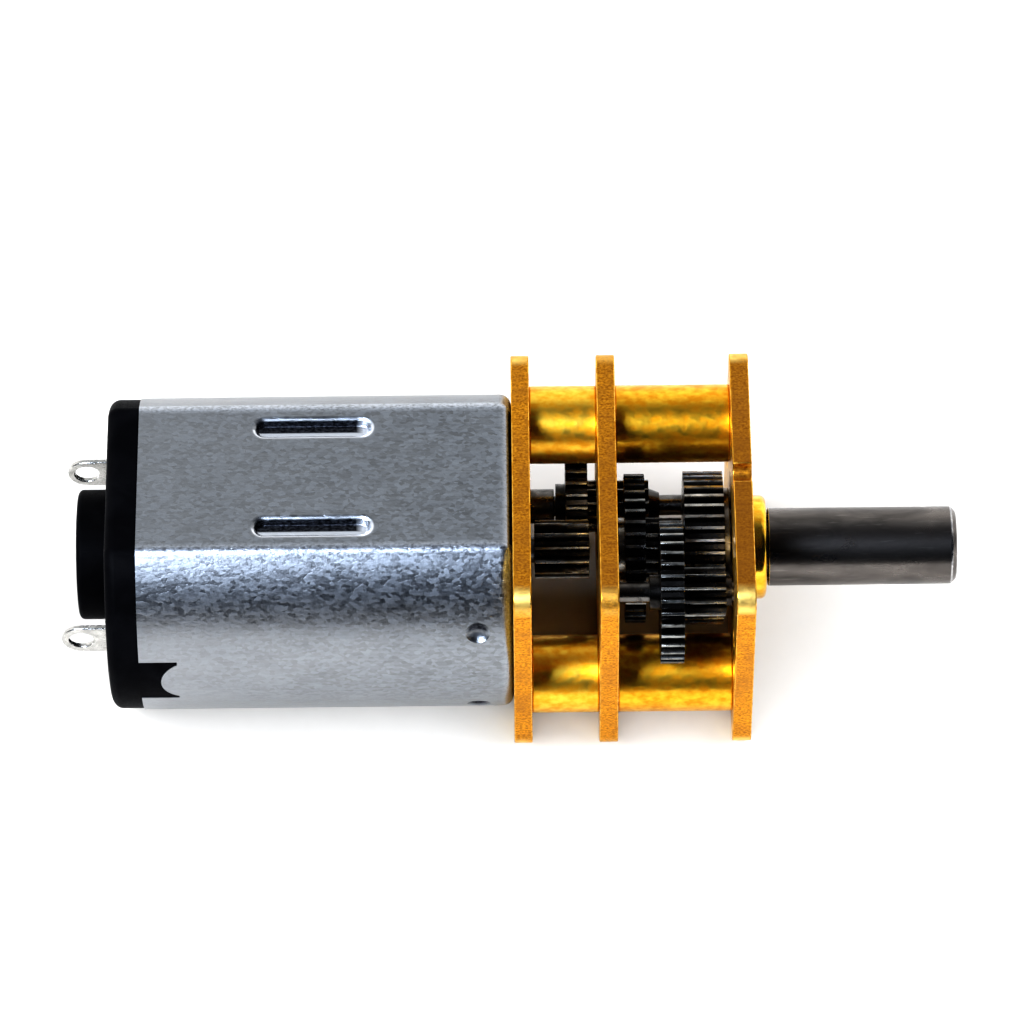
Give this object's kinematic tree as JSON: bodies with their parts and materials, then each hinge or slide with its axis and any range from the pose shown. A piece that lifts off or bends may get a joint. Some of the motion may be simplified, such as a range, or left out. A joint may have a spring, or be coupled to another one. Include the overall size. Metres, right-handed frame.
{
  "type": "gearmotor",
  "caption": "Miniature flat-sided DC gearmotor: a small brushed motor drives an open spur gearbox between brass plates, with a D-shaft output.",
  "frame": {"origin": "on the output shaft's axis, in the front (mounting) face of the front plate", "axes": "+X along the output shaft, out of the gearbox; +Y along the 12 mm width; +Z along the 10 mm height"},
  "size_m": [0.0344, 0.012, 0.01],
  "materials": {
    "plate_brass": "rolled sheet with sheared edges",
    "turned_brass": "turned, bright",
    "gear_steel": "cut and lightly oiled",
    "shaft_steel": "ground",
    "can_steel": "zinc-plated, brushed",
    "core_steel": "stamped laminations",
    "black_plastic": "moulded",
    "bronze": "sintered",
    "magnet": "ferrite",
    "tinned": "tinned",
    "brush_bronze": "spring sheet",
    "copper": "enamelled copper"
  },
  "bodies": {
    "housing": {"front_plate": "plate_brass", "middle_plate": "plate_brass", "rear_plate": "plate_brass", "front_post_left": "turned_brass", "front_post_right": "turned_brass", "rear_post_left": "turned_brass", "rear_post_right": "turned_brass", "assembly_screws": "gear_steel", "motor_screws": "gear_steel", "arbor_pin_a": "gear_steel", "arbor_pin_b": "gear_steel", "arbor_spacer": "gear_steel", "output_bushing": "turned_brass", "motor_can": "can_steel", "front_bearing": "bronze", "rear_bearing": "bronze", "end_cap": "black_plastic", "magnet_left": "magnet", "magnet_right": "magnet", "terminal_left": "tinned", "terminal_right": "tinned", "brush_left": "brush_bronze", "brush_right": "brush_bronze"},
    "rotor": {"motor_shaft": "shaft_steel", "lamination_stack": "core_steel", "winding_1": "copper", "winding_2": "copper", "winding_3": "copper", "commutator_hub": "black_plastic", "commutator_segment_1": "copper", "commutator_segment_2": "copper", "commutator_segment_3": "copper", "thrust_washer": "black_plastic", "motor_pinion": "gear_steel"},
    "first_cluster": {"first_gear": "gear_steel", "first_pinion": "gear_steel"},
    "second_cluster": {"second_gear": "gear_steel", "second_pinion": "gear_steel"},
    "third_cluster": {"third_gear": "gear_steel", "third_pinion": "gear_steel"},
    "output": {"output_shaft": "shaft_steel", "output_gear": "gear_steel", "output_washer": "gear_steel"}
  },
  "joints": [
    {"name": "output_spin", "type": "hinge", "parent": "housing", "child": "output", "pos_m": [0, 0, 0], "axis": [1, 0, 0], "continuous": true},
    {"name": "third_spin", "type": "hinge", "parent": "housing", "child": "third_cluster", "pos_m": [0, -0.0032, 0.00165], "axis": [1, 0, 0], "continuous": true},
    {"name": "second_spin", "type": "hinge", "parent": "housing", "child": "second_cluster", "pos_m": [0, 0, 0], "axis": [1, 0, 0], "continuous": true},
    {"name": "first_spin", "type": "hinge", "parent": "housing", "child": "first_cluster", "pos_m": [0, 0.0032, -0.00165], "axis": [1, 0, 0], "continuous": true},
    {"name": "rotor_spin", "type": "hinge", "parent": "housing", "child": "rotor", "pos_m": [0, 0, 0], "axis": [1, 0, 0], "continuous": true}
  ],
  "couplings": [
    {"joint": "third_spin", "follows": "output_spin", "ratio": -3.8},
    {"joint": "second_spin", "follows": "output_spin", "ratio": 10.231},
    {"joint": "first_spin", "follows": "output_spin", "ratio": -34.413},
    {"joint": "rotor_spin", "follows": "output_spin", "ratio": 100.37}
  ]
}
